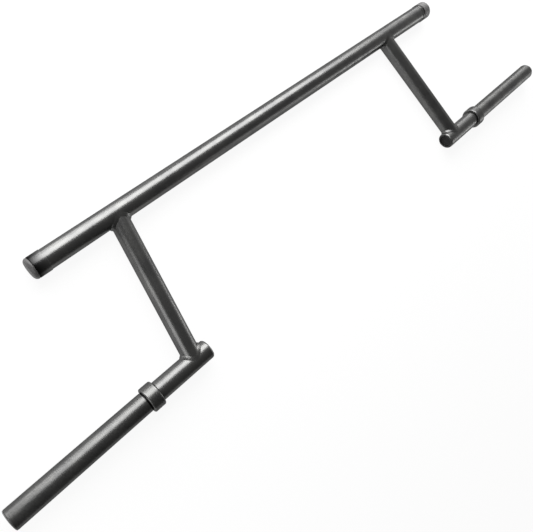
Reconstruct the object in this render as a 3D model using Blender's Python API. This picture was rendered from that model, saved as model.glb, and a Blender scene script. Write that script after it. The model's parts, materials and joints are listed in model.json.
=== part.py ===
"""A cambered row bar: a straight bar, two splayed posts and two turning plate sleeves.

The bar lies flat, as it is put down on a floor. +X runs along the bar, +Y from the sleeves to the bar, +Z up,
and the origin is on the floor under the middle of the whole. Lengths are in metres. "left" is the -X end.

It rests on the two collars and on the two rings at the bar's ends, so the plane through the axes of the bar
and of the sleeves is tipped by about a degree.
"""

from dataclasses import dataclass
from math import cos, pi, radians, sin, sqrt

import bmesh
import bpy
from mathutils import Vector

# Clearances. A joint between two pieces that touch keeps FIT between their faces.
FIT = 0.0003
RUN = 0.0003  # radial, a bushing on its spindle

# Overall layout
BAR_LENGTH = 1.451  # over the two end plugs
CAMBER = 0.379  # bar axis to sleeve axis
POST_TOP_SPACING = 1.003  # between the posts' axes, on the bar's axis
POST_FOOT_SPACING = 1.116  # between the posts' axes, on the sleeves' axis

# Main bar and its ends
BAR_OD = 0.0500
BAR_WALL = 0.004
END_RING_WALL = 0.0009
END_RING_LENGTH = 0.0295
END_RING_EDGE = 0.0004
END_PLUG_STEP = 0.0002  # how far a plug's head lies under the ring's surface
END_PLUG_HEAD = 0.0105
END_PLUG_SPIGOT = 0.026
END_PLUG_WALL = 0.003
END_PLUG_ROUND = 0.009
SEAM_WIDTH = 0.0012  # the groove between a plug's head and the ring
SEAM_DEPTH = 0.0016

# Posts and their welds
POST_STEP = 0.0011  # radial. A post is this much thinner than the thinner tube it stands on
POST_WALL = 0.0035
WELD_LEG = 0.006  # along the post and along the tube that it stands on
WELD_CROWN = 0.0012  # how far the bead stands proud of a flat fillet
WELD_LIFT = 0.0001  # added to FIT under the bead, because its foot is a chord over a round tube

# Stub tubes, which carry the sleeves
STUB_STEP = 0.0002  # radial. The stub tube is this much thinner than the sleeve
STUB_WALL = 0.004
STUB_INBOARD = 0.0435  # from the post's axis to the inboard end
STUB_TO_COLLAR = 0.1104  # from the post's axis to the collar's inboard face
STUB_IN_COLLAR = 0.009  # how deep the stub tube enters the collar
STUB_EDGE = 0.0012
STUB_PLUG_DEPTH = 0.016
STUB_PLUG_WALL = 0.003
STUB_PLUG_RECESS = 0.0008

# Sleeves
SLEEVE_OD = 0.0500
SLEEVE_WALL = 0.006
SLEEVE_LOADABLE = 0.3422  # from the collar's outboard face to the sleeve's outer end
SLEEVE_EDGE = 0.001
COLLAR_HEIGHT = 0.0074  # radial, over the sleeve
COLLAR_WIDTH = 0.0309
COLLAR_ROUND = 0.003
COLLAR_MOUTH = 0.0012  # bevel at each end of the collar's bore

# Caps on the sleeves' outer ends
CAP_FLANGE = 0.0025
CAP_STEP = 0.0004  # radial, from the sleeve's surface down to the flange's
CAP_EDGE = 0.0006
CAP_SPIGOT = 0.010
CAP_WALL = 0.003

# Spindles and what holds the sleeves on them
SPINDLE_OD = 0.028
SPINDLE_ROOT = 0.060  # length held in the stub tube
SPINDLE_SHORT = 0.018  # how far it ends short of the sleeve's outer end
SPINDLE_EDGE = 0.0015
BUSHING_LENGTH = 0.040
THRUST_WASHER = 0.0025
THRUST_WASHER_STEP = 0.002  # radial, from the stub tube's surface down to the washer's
RETAINING_WASHER = 0.0025
BORE_CLEARANCE = 0.0015  # radial, round what stands still in the sleeve's bore
SNAP_RING = 0.002
SNAP_RING_SHARE = 0.6  # of the way from the groove to its ears' tips
SNAP_GROOVE_DEPTH = 0.0018
SNAP_RING_OPEN = radians(44)
SNAP_EAR_SPAN = radians(18)
SNAP_TO_END = 0.005  # from the groove to the spindle's outer end

# Facets round each turned piece. A flat is at the bottom, so that the bar doesn't rock on a corner.
OUTER_SIDES = 32
INNER_SIDES = 24

# Worked out from the sizes above
BAR_ID = BAR_OD - 2 * BAR_WALL
END_RING_OD = BAR_OD + 2 * FIT + 2 * END_RING_WALL
END_PLUG_OD = END_RING_OD - 2 * END_PLUG_STEP
STUB_OD = SLEEVE_OD - 2 * STUB_STEP
POST_OD = min(BAR_OD, STUB_OD) - 2 * POST_STEP
COLLAR_OD = SLEEVE_OD + 2 * COLLAR_HEIGHT
STUB_ID = STUB_OD - 2 * STUB_WALL
SLEEVE_ID = SLEEVE_OD - 2 * SLEEVE_WALL
FLAT = cos(pi / OUTER_SIDES)  # distance to a facet over distance to a corner
SLEEVE_Z = COLLAR_OD / 2 * FLAT
BAR_Z = END_RING_OD / 2 * FLAT
RUN_IN_Y = sqrt(CAMBER**2 - (SLEEVE_Z - BAR_Z) ** 2)
DEPTH = SLEEVE_Z + RUN_IN_Y + BAR_Z
SLEEVE_Y = SLEEVE_Z - DEPTH / 2
BAR_Y = SLEEVE_Y + RUN_IN_Y


@dataclass(frozen=True)
class Side:
    """One end of the bar: its name and the sign of X there."""

    name: str
    sign: int

    def x(self, distance):
        """X of a plane that lies this far outboard of the bar's middle."""
        return self.sign * distance


LEFT = Side("left", -1)
RIGHT = Side("right", 1)


# Materials


def material(name, colour, metallic, roughness):
    """A Principled material."""
    made = bpy.data.materials.new(name)
    made.use_nodes = True
    shader = made.node_tree.nodes["Principled BSDF"]
    shader.inputs["Base Color"].default_value = (*colour, 1.0)
    shader.inputs["Metallic"].default_value = metallic
    shader.inputs["Roughness"].default_value = roughness
    made.diffuse_color = (*colour, 1.0)
    return made


def graphite(name):
    return material(name, (0.075, 0.075, 0.078), 0.9, 0.38)


def weld_metal(name):
    return material(name, (0.060, 0.060, 0.062), 0.9, 0.45)


def black_plastic(name):
    return material(name, (0.020, 0.020, 0.021), 0.0, 0.6)


def bright_steel(name):
    return material(name, (0.56, 0.56, 0.58), 1.0, 0.3)


def bronze(name):
    return material(name, (0.62, 0.42, 0.20), 1.0, 0.35)


# Building


def clear_scene():
    for obj in list(bpy.data.objects):
        bpy.data.objects.remove(obj)


def add(name, bm, finish, location, parent=None):
    """Makes an object from a bmesh whose points are measured from location."""
    bmesh.ops.recalc_face_normals(bm, faces=bm.faces)
    mesh = bpy.data.meshes.new(name)
    bm.to_mesh(mesh)
    bm.free()
    mesh.shade_smooth()
    mesh.set_sharp_from_angle(angle=radians(30))
    mesh.materials.append(finish(name))
    obj = bpy.data.objects.new(name, mesh)
    bpy.context.collection.objects.link(obj)
    obj.parent = parent
    obj.location = location
    return obj


def empty(name, location):
    """A parent for the pieces that turn about one axis."""
    obj = bpy.data.objects.new(name, None)
    obj.empty_display_size = 0.05
    obj.location = location
    bpy.context.collection.objects.link(obj)
    return obj


def turned(profile, sides):
    """Spins a closed profile of (x, radius) points about the X axis. A radius of 0 closes that end."""
    bm = bmesh.new()
    start = pi / sides
    points = [bm.verts.new((x, r * cos(start), r * sin(start))) for x, r in profile]
    edges = []
    for i, point in enumerate(points):
        following = points[(i + 1) % len(points)]
        on_axis = profile[i][1] == 0 and profile[(i + 1) % len(points)][1] == 0
        if not on_axis:
            edges.append(bm.edges.new((point, following)))
    bmesh.ops.spin(
        bm,
        geom=points + edges,
        axis=(1, 0, 0),
        cent=(0, 0, 0),
        angle=2 * pi,
        steps=sides,
        use_merge=True,
    )
    bmesh.ops.remove_doubles(bm, verts=bm.verts, dist=1e-6)
    return bm


def rounded(corner, before, after, radius, steps=3):
    """Points of the round that replaces a profile's right-angled corner, from the edge before to the one after."""
    corner, before, after = Vector(corner), Vector(before), Vector(after)
    back = (before - corner).normalized()
    on = (after - corner).normalized()
    centre = corner + (back + on) * radius
    turns = [pi / 2 * i / steps for i in range(steps + 1)]
    return [tuple(centre - on * radius * cos(t) - back * radius * sin(t)) for t in turns]


def mirrored(profile, side):
    """A profile drawn for the +X end, for this end."""
    return [(side.x(x), r) for x, r in profile]


def tube(x0, x1, outer_r, inner_r, edge):
    """Profile of a tube whose outer corners are bevelled by edge."""
    return [
        (x0, inner_r),
        (x0, outer_r - edge),
        (x0 + edge, outer_r),
        (x1 - edge, outer_r),
        (x1, outer_r - edge),
        (x1, inner_r),
    ]


# The post's axis, its saddles and its welds


@dataclass(frozen=True)
class Post:
    """The straight line from the bar's axis down to the sleeve's axis, at one end of the bar."""

    side: Side

    @property
    def top(self):
        return Vector((self.side.x(POST_TOP_SPACING / 2), BAR_Y, BAR_Z))

    @property
    def foot(self):
        return Vector((self.side.x(POST_FOOT_SPACING / 2), SLEEVE_Y, SLEEVE_Z))

    @property
    def down(self):
        return (self.foot - self.top).normalized()

    def around(self, turn):
        """Unit vector across the post at this angle. Angle 0 is across both the post and X."""
        across = Vector((1, 0, 0)).cross(self.down).normalized()
        along = self.down.cross(across)
        return across * cos(turn) + along * sin(turn)

    def meet(self, turn, post_r, tube_r, at_top):
        """Where a line along the post, at this angle and radius, meets the tube that the post stands on."""
        centre = self.top if at_top else self.foot
        away = self.down if at_top else -self.down
        offset = self.around(turn) * post_r
        # Only Y and Z count, because the tube's axis runs along X.
        a = away.y**2 + away.z**2
        b = 2 * (away.y * offset.y + away.z * offset.z)
        c = offset.y**2 + offset.z**2 - tube_r**2
        reach = (-b + sqrt(b * b - 4 * a * c)) / (2 * a)
        return centre + offset + away * reach


def ring(bm, points):
    return [bm.verts.new(point) for point in points]


def bridge(bm, rings):
    """Closes a chain of equal rings into one skin, the last ring to the first."""
    for one, two in zip(rings, rings[1:] + rings[:1]):
        count = len(one)
        for i in range(count):
            j = (i + 1) % count
            bm.faces.new((one[i], one[j], two[j], two[i]))


def post_turns():
    return [2 * pi * (i + 0.5) / OUTER_SIDES for i in range(OUTER_SIDES)]


def add_post(side):
    """A tube cut to a saddle at the bar and at the stub tube."""
    post = Post(side)
    outer_r, inner_r = POST_OD / 2, POST_OD / 2 - POST_WALL
    # A ring in the middle of the wall keeps each saddle's end face off the round tube below it.
    across_wall = (outer_r, (outer_r + inner_r) / 2, inner_r)
    foot_rings = [(r, STUB_OD / 2 + FIT, False) for r in across_wall]
    top_rings = [(r, BAR_OD / 2 + FIT, True) for r in reversed(across_wall)]
    bm = bmesh.new()
    rings = [
        ring(bm, [post.meet(t, r, tube_r, at_top) - post.foot for t in post_turns()])
        for r, tube_r, at_top in foot_rings + top_rings
    ]
    bridge(bm, rings)
    return add(f"{side.name}_post", bm, graphite, post.foot)


def add_post_weld(side, at_top):
    """A fillet bead round one end of a post: its root, its toe on the tube, its crown and its toe on the post."""
    post = Post(side)
    tube_r = BAR_OD / 2 if at_top else STUB_OD / 2
    centre = post.top if at_top else post.foot
    away = post.down if at_top else -post.down
    over_post = POST_OD / 2 + FIT
    over_tube = tube_r + FIT + WELD_LIFT
    bm = bmesh.new()
    roots, tube_toes, crowns, post_toes = [], [], [], []
    for t in post_turns():
        root = post.meet(t, over_post, over_tube, at_top) - centre
        post_normal = post.around(t)
        tube_normal = Vector((0, root.y, root.z)).normalized()
        over_the_tube = (post_normal - tube_normal * post_normal.dot(tube_normal)).normalized()
        tube_toe = root + over_the_tube * WELD_LEG
        tube_toe.yz = tube_toe.yz.normalized() * over_tube
        post_toe = root + away * WELD_LEG
        outward = (post_normal + tube_normal).normalized()
        roots.append(root)
        tube_toes.append(tube_toe)
        crowns.append((tube_toe + post_toe) / 2 + outward * WELD_CROWN)
        post_toes.append(post_toe)
    bridge(bm, [ring(bm, points) for points in (roots, tube_toes, crowns, post_toes)])
    place = "top" if at_top else "foot"
    return add(f"{side.name}_post_{place}_weld", bm, weld_metal, centre)


# Main bar


def bar_half():
    """From the bar's middle to the end of its tube."""
    return BAR_LENGTH / 2 - END_PLUG_HEAD - SEAM_WIDTH


def add_main_bar():
    half = bar_half()
    profile = [(-half, BAR_ID / 2), (-half, BAR_OD / 2), (half, BAR_OD / 2), (half, BAR_ID / 2)]
    return add("main_bar", turned(profile, OUTER_SIDES), graphite, (0, BAR_Y, BAR_Z))


def add_bar_end_ring(side):
    """A thin ring over the bar's end, flush with it."""
    end = bar_half()
    bore_r = BAR_OD / 2 + FIT
    profile = tube(end - END_RING_LENGTH, end, END_RING_OD / 2, bore_r, END_RING_EDGE)
    bm = turned(mirrored(profile, side), OUTER_SIDES)
    return add(f"{side.name}_bar_end_ring", bm, graphite, (0, BAR_Y, BAR_Z))


def add_bar_end_plug(side):
    """A domed head, a groove under it and a hollow spigot in the bar's bore."""
    face = BAR_LENGTH / 2
    seat = bar_half() + FIT
    head = face - END_PLUG_HEAD
    head_r, spigot_r = END_PLUG_OD / 2, BAR_ID / 2 - FIT
    hollow_r = spigot_r - END_PLUG_WALL
    outer = rounded((face, head_r), (head, head_r), (face, 0), END_PLUG_ROUND, steps=5)
    profile = [
        (seat - END_PLUG_SPIGOT, hollow_r),
        (seat - END_PLUG_SPIGOT, spigot_r),
        (seat, spigot_r),
        (seat, head_r - SEAM_DEPTH),
        (head, head_r - SEAM_DEPTH),
        (head, head_r),
        *outer,
        (face, 0),
        (head, 0),
        (head, hollow_r),
    ]
    bm = turned(mirrored(profile, side), OUTER_SIDES)
    return add(f"{side.name}_bar_end_plug", bm, black_plastic, (0, BAR_Y, BAR_Z))


# Stub tubes


def stub_span():
    """The stub tube's inboard and outboard ends, from the bar's middle."""
    axis = POST_FOOT_SPACING / 2
    return axis - STUB_INBOARD, axis + STUB_TO_COLLAR + STUB_IN_COLLAR


def add_stub_tube(side):
    inboard, outboard = stub_span()
    profile = tube(inboard, outboard, STUB_OD / 2, STUB_ID / 2, STUB_EDGE)
    bm = turned(mirrored(profile, side), OUTER_SIDES)
    return add(f"{side.name}_stub_tube", bm, graphite, (0, SLEEVE_Y, SLEEVE_Z))


def add_stub_plug(side):
    """A cup pushed into the stub tube, its closed face just inside the tube's end."""
    face = stub_span()[0] + STUB_PLUG_RECESS
    outer_r = STUB_ID / 2 - FIT
    hollow_r = outer_r - STUB_PLUG_WALL
    profile = [
        (face, 0),
        (face, outer_r),
        (face + STUB_PLUG_DEPTH, outer_r),
        (face + STUB_PLUG_DEPTH, hollow_r),
        (face + STUB_PLUG_WALL, hollow_r),
        (face + STUB_PLUG_WALL, 0),
    ]
    bm = turned(mirrored(profile, side), INNER_SIDES)
    return add(f"{side.name}_stub_plug", bm, black_plastic, (0, SLEEVE_Y, SLEEVE_Z))


# Along the sleeve's axis, from the bar's middle outwards


class Stations:
    """Planes across the sleeve's axis."""

    collar_in = POST_FOOT_SPACING / 2 + STUB_TO_COLLAR
    collar_out = collar_in + COLLAR_WIDTH
    stub_end = collar_in + STUB_IN_COLLAR
    thrust_in = stub_end + FIT
    thrust_out = thrust_in + THRUST_WASHER
    sleeve_in = thrust_out + FIT
    outer_face = collar_out + SLEEVE_LOADABLE
    sleeve_out = outer_face - CAP_FLANGE - FIT
    spindle_end = sleeve_out - SPINDLE_SHORT
    groove_out = spindle_end - SNAP_TO_END
    groove_in = groove_out - SNAP_RING - 2 * FIT
    snap_in = groove_in + FIT
    retaining_out = groove_in
    retaining_in = retaining_out - RETAINING_WASHER
    outer_bushing_out = retaining_in - FIT


def add_spindle(side):
    """A root that fills the stub tube's end, a journal for the bushings and a groove for the snap ring."""
    root_r, journal_r = STUB_ID / 2 - FIT, SPINDLE_OD / 2
    groove_r = journal_r - SNAP_GROOVE_DEPTH
    root_in = Stations.stub_end - SPINDLE_ROOT
    profile = [
        (root_in, 0),
        (root_in, root_r - SPINDLE_EDGE),
        (root_in + SPINDLE_EDGE, root_r),
        (Stations.stub_end, root_r),
        (Stations.stub_end, journal_r),
        (Stations.groove_in, journal_r),
        (Stations.groove_in, groove_r),
        (Stations.groove_out, groove_r),
        (Stations.groove_out, journal_r),
        (Stations.spindle_end - SPINDLE_EDGE, journal_r),
        (Stations.spindle_end, journal_r - SPINDLE_EDGE),
        (Stations.spindle_end, 0),
    ]
    bm = turned(mirrored(profile, side), INNER_SIDES)
    return add(f"{side.name}_spindle", bm, bright_steel, (0, SLEEVE_Y, SLEEVE_Z))


def add_washer(side, name, x0, x1, outer_r, finish):
    """A flat ring on the spindle's journal."""
    inner_r = SPINDLE_OD / 2 + RUN
    profile = [(x0, inner_r), (x0, outer_r), (x1, outer_r), (x1, inner_r)]
    bm = turned(mirrored(profile, side), INNER_SIDES)
    return add(f"{side.name}_{name}", bm, finish, (0, SLEEVE_Y, SLEEVE_Z))


def add_snap_ring(side):
    """An open ring in the spindle's groove, with an ear at each end of the gap."""
    x0 = Stations.snap_in
    x1 = x0 + SNAP_RING
    inner_r = SPINDLE_OD / 2 - SNAP_GROOVE_DEPTH + FIT
    ear_r = SLEEVE_ID / 2 - BORE_CLEARANCE
    outer_r = inner_r + (ear_r - inner_r) * SNAP_RING_SHARE
    first = pi / 2 + SNAP_RING_OPEN / 2
    span = 2 * pi - SNAP_RING_OPEN
    bm = bmesh.new()
    sections = []
    for i in range(INNER_SIDES + 1):
        turn = span * i / INNER_SIDES
        in_ear = min(turn, span - turn) < SNAP_EAR_SPAN
        r = ear_r if in_ear else outer_r
        y, z = cos(first + turn), sin(first + turn)
        corners = ((x0, inner_r), (x1, inner_r), (x1, r), (x0, r))
        sections.append([bm.verts.new((side.x(x), y * q, z * q)) for x, q in corners])
    for one, two in zip(sections, sections[1:]):
        for i in range(4):
            j = (i + 1) % 4
            bm.faces.new((one[i], one[j], two[j], two[i]))
    bm.faces.new(sections[0])
    bm.faces.new(sections[-1])
    return add(f"{side.name}_snap_ring", bm, bright_steel, (0, SLEEVE_Y, SLEEVE_Z))


# What turns: the sleeve, its collar, cap and bushings


def add_sleeve(side, axis):
    profile = tube(
        Stations.sleeve_in, Stations.sleeve_out, SLEEVE_OD / 2, SLEEVE_ID / 2, SLEEVE_EDGE
    )
    bm = turned(mirrored(profile, side), OUTER_SIDES)
    return add(f"{side.name}_sleeve", bm, graphite, (0, 0, 0), axis)


def add_collar(side, axis):
    """A ring on the sleeve's inboard end. Its bore runs past the stub tube's end."""
    x0, x1 = Stations.collar_in, Stations.collar_out
    outer_r, bore_r = COLLAR_OD / 2, SLEEVE_OD / 2 + FIT
    profile = [
        (x0 + COLLAR_MOUTH, bore_r),
        (x0, bore_r + COLLAR_MOUTH),
        *rounded((x0, outer_r), (x0, bore_r), (x1, outer_r), COLLAR_ROUND),
        *rounded((x1, outer_r), (x0, outer_r), (x1, bore_r), COLLAR_ROUND),
        (x1, bore_r + COLLAR_MOUTH),
        (x1 - COLLAR_MOUTH, bore_r),
    ]
    bm = turned(mirrored(profile, side), OUTER_SIDES)
    return add(f"{side.name}_sleeve_collar", bm, graphite, (0, 0, 0), axis)


def add_bushing(side, name, x0, axis):
    """A bronze liner, a fit in the sleeve's bore and running on the spindle."""
    x1 = x0 + BUSHING_LENGTH
    outer_r, inner_r = SLEEVE_ID / 2 * FLAT - FIT, SPINDLE_OD / 2 + RUN
    profile = [(x0, inner_r), (x0, outer_r), (x1, outer_r), (x1, inner_r)]
    bm = turned(mirrored(profile, side), INNER_SIDES)
    return add(f"{side.name}_{name}", bm, bronze, (0, 0, 0), axis)


def add_sleeve_end_cap(side, axis):
    """A flange over the sleeve's outer end and a hollow spigot in its bore."""
    seat, face = Stations.sleeve_out + FIT, Stations.outer_face
    flange_r, spigot_r = SLEEVE_OD / 2 - CAP_STEP, SLEEVE_ID / 2 - FIT
    hollow_r = spigot_r - CAP_WALL
    profile = [
        (seat - CAP_SPIGOT, hollow_r),
        (seat - CAP_SPIGOT, spigot_r),
        (seat, spigot_r),
        (seat, flange_r - CAP_EDGE),
        (seat + CAP_EDGE, flange_r),
        (face - CAP_EDGE, flange_r),
        (face, flange_r - CAP_EDGE),
        (face, 0),
        (seat, 0),
        (seat, hollow_r),
    ]
    bm = turned(mirrored(profile, side), OUTER_SIDES)
    return add(f"{side.name}_sleeve_end_cap", bm, black_plastic, (0, 0, 0), axis)


def add_frame_end(side):
    """Everything at one end that is fixed to the main bar."""
    add_bar_end_ring(side)
    add_bar_end_plug(side)
    add_post(side)
    add_post_weld(side, at_top=True)
    add_post_weld(side, at_top=False)
    add_stub_tube(side)
    add_stub_plug(side)
    add_spindle(side)
    add_washer(
        side,
        "thrust_washer",
        Stations.thrust_in,
        Stations.thrust_out,
        STUB_OD / 2 - THRUST_WASHER_STEP,
        bronze,
    )
    add_washer(
        side,
        "retaining_washer",
        Stations.retaining_in,
        Stations.retaining_out,
        SLEEVE_ID / 2 - BORE_CLEARANCE,
        bright_steel,
    )
    add_snap_ring(side)


def add_sleeve_end(side):
    """Everything at one end that turns on the spindle."""
    axis = empty(f"{side.name}_sleeve_axis", (0, SLEEVE_Y, SLEEVE_Z))
    add_sleeve(side, axis)
    add_collar(side, axis)
    add_bushing(side, "inner_bushing", Stations.sleeve_in, axis)
    add_bushing(side, "outer_bushing", Stations.outer_bushing_out - BUSHING_LENGTH, axis)
    add_sleeve_end_cap(side, axis)


def main():
    clear_scene()
    add_main_bar()
    for side in (LEFT, RIGHT):
        add_frame_end(side)
        add_sleeve_end(side)


main()
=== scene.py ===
"""The looks of a cambered row bar: a straight bar, two splayed posts and two turning plate sleeves.

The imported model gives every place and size. Here each visible piece is made again as a fine surface,
and gets its finish: a satin graphite coat on the tubes, a fine-grained coat on the sleeves, coated weld
beads and moulded plugs. +X runs along the bar, +Y from the sleeves to the bar, +Z up. Lengths are in
metres. "left" is the -X end.
"""

import json
import logging
from collections.abc import Sequence
from dataclasses import dataclass, field
from enum import Enum
from math import cos, pi, radians

import bpy
import numpy as np
from mathutils import Matrix, Quaternion, Vector

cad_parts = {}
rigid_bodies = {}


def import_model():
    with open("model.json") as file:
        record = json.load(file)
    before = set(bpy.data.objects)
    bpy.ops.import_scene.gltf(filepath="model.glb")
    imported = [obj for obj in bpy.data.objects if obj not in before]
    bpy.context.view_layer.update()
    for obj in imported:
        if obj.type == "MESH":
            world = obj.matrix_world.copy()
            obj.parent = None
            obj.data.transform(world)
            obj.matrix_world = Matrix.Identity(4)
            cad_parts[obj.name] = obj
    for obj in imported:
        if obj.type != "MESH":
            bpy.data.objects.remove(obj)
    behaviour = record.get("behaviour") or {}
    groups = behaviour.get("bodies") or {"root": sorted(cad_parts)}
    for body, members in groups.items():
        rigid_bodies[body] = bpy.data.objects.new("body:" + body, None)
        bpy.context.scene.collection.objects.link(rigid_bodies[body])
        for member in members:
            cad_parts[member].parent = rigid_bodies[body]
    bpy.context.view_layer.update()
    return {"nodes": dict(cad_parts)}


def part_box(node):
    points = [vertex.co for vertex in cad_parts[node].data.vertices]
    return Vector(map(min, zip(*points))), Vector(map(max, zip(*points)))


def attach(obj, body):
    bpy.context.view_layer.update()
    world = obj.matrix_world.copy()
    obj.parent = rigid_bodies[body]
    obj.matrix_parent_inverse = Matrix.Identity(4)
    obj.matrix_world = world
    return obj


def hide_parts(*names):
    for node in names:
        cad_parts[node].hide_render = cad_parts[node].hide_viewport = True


LOG = logging.getLogger("row_bar")

MM = 0.001
CAD_SIDES = 32
FLAT = cos(pi / CAD_SIDES)  # distance to a facet over distance to a corner, on a packed round piece
ROUND_STEPS = 8  # along the arc that replaces a corner
SEGMENTS = 144  # points round a turned piece
MERGE = 0.001 * MM  # points nearer than this are one
HARD_EDGE = radians(40)  # faces that meet at more than this don't shade into each other
SADDLE_BAND = 1 * MM  # how far off a tube's surface the points of a packed saddle may lie
BAR_WALL = 4.0 * MM


class End(Enum):
    """One end of the bar, with the sign of X there."""

    LEFT = -1
    RIGHT = 1

    @property
    def label(self) -> str:
        """The word that node names start with at this end."""
        return self.name.lower()


class Body(Enum):
    """What moves as one, apart from the two sleeves."""

    FRAME = "frame"


def sleeve_body(end: End) -> str:
    """The name of the body that turns at this end."""
    return f"{end.label}_sleeve_assembly"


# Colours and nodes


def linear(code: str) -> tuple[float, float, float, float]:
    """Turns an sRGB hex colour to linear light.

    Args:
        code: the colour, as "#rrggbb".

    Returns:
        Red, green and blue as a share of full light, and an opacity of 1.
    """
    encoded = np.array([int(code[i : i + 2], 16) for i in (1, 3, 5)]) / 255
    straight = encoded / 12.92
    curved = ((encoded + 0.055) / 1.055) ** 2.4
    red, green, blue = np.where(encoded <= 0.04045, straight, curved).tolist()
    return red, green, blue, 1.0


def add_node(
    tree: bpy.types.NodeTree, kind: str, inputs: dict | None = None, **settings: object
) -> bpy.types.Node:
    """Adds a node with its settings and what goes into it.

    Args:
        tree: the node tree that it goes into.
        kind: Blender's name of the node's type.
        inputs: for an input's name or number, the output socket linked to it or the value set on it.
        settings: the node's own properties.

    Returns:
        The node.
    """
    made = tree.nodes.new(kind)
    for name, value in settings.items():
        setattr(made, name, value)
    for name, value in (inputs or {}).items():
        if isinstance(value, bpy.types.NodeSocket):
            tree.links.new(value, made.inputs[name])
        else:
            made.inputs[name].default_value = value
    return made


def per_mm(size: float) -> float:
    """The scale of a noise on Object coordinates whose grains are this many millimetres wide."""
    return 1 / (size * MM)


def start_material(title: str) -> tuple[bpy.types.Material, bpy.types.NodeSocket]:
    """Starts a node material.

    Args:
        title: its name.

    Returns:
        The material, and the socket that gives each point's Object coordinates.
    """
    made = bpy.data.materials.new(title)
    made.use_nodes = True
    return made, add_node(made.node_tree, "ShaderNodeTexCoord").outputs["Object"]


def follow(
    pattern: bpy.types.NodeSocket,
    shader: bpy.types.Node,
    colours: tuple[str, str],
    gloss: tuple[float, float],
    depth_mm: float,
) -> None:
    """Makes a shader's colour, roughness and relief follow one pattern.

    Args:
        pattern: the socket that gives the pattern, from 0 to 1.
        shader: the shader.
        colours: at 0 and at 1.
        gloss: the roughness at 0 and at 1.
        depth_mm: the height of the relief.
    """
    tree = shader.id_data
    base = add_node(
        tree,
        "ShaderNodeMix",
        {"Factor": pattern, "A": linear(colours[0]), "B": linear(colours[1])},
        data_type="RGBA",
    )
    tree.links.new(base.outputs["Result"], shader.inputs["Base Color"])
    rough = add_node(
        tree, "ShaderNodeMapRange", {"Value": pattern, "To Min": gloss[0], "To Max": gloss[1]}
    )
    tree.links.new(rough.outputs["Result"], shader.inputs["Roughness"])
    relief = add_node(tree, "ShaderNodeBump", {"Height": pattern, "Distance": depth_mm * MM})
    tree.links.new(relief.outputs["Normal"], shader.inputs["Normal"])


# Finishes


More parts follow.
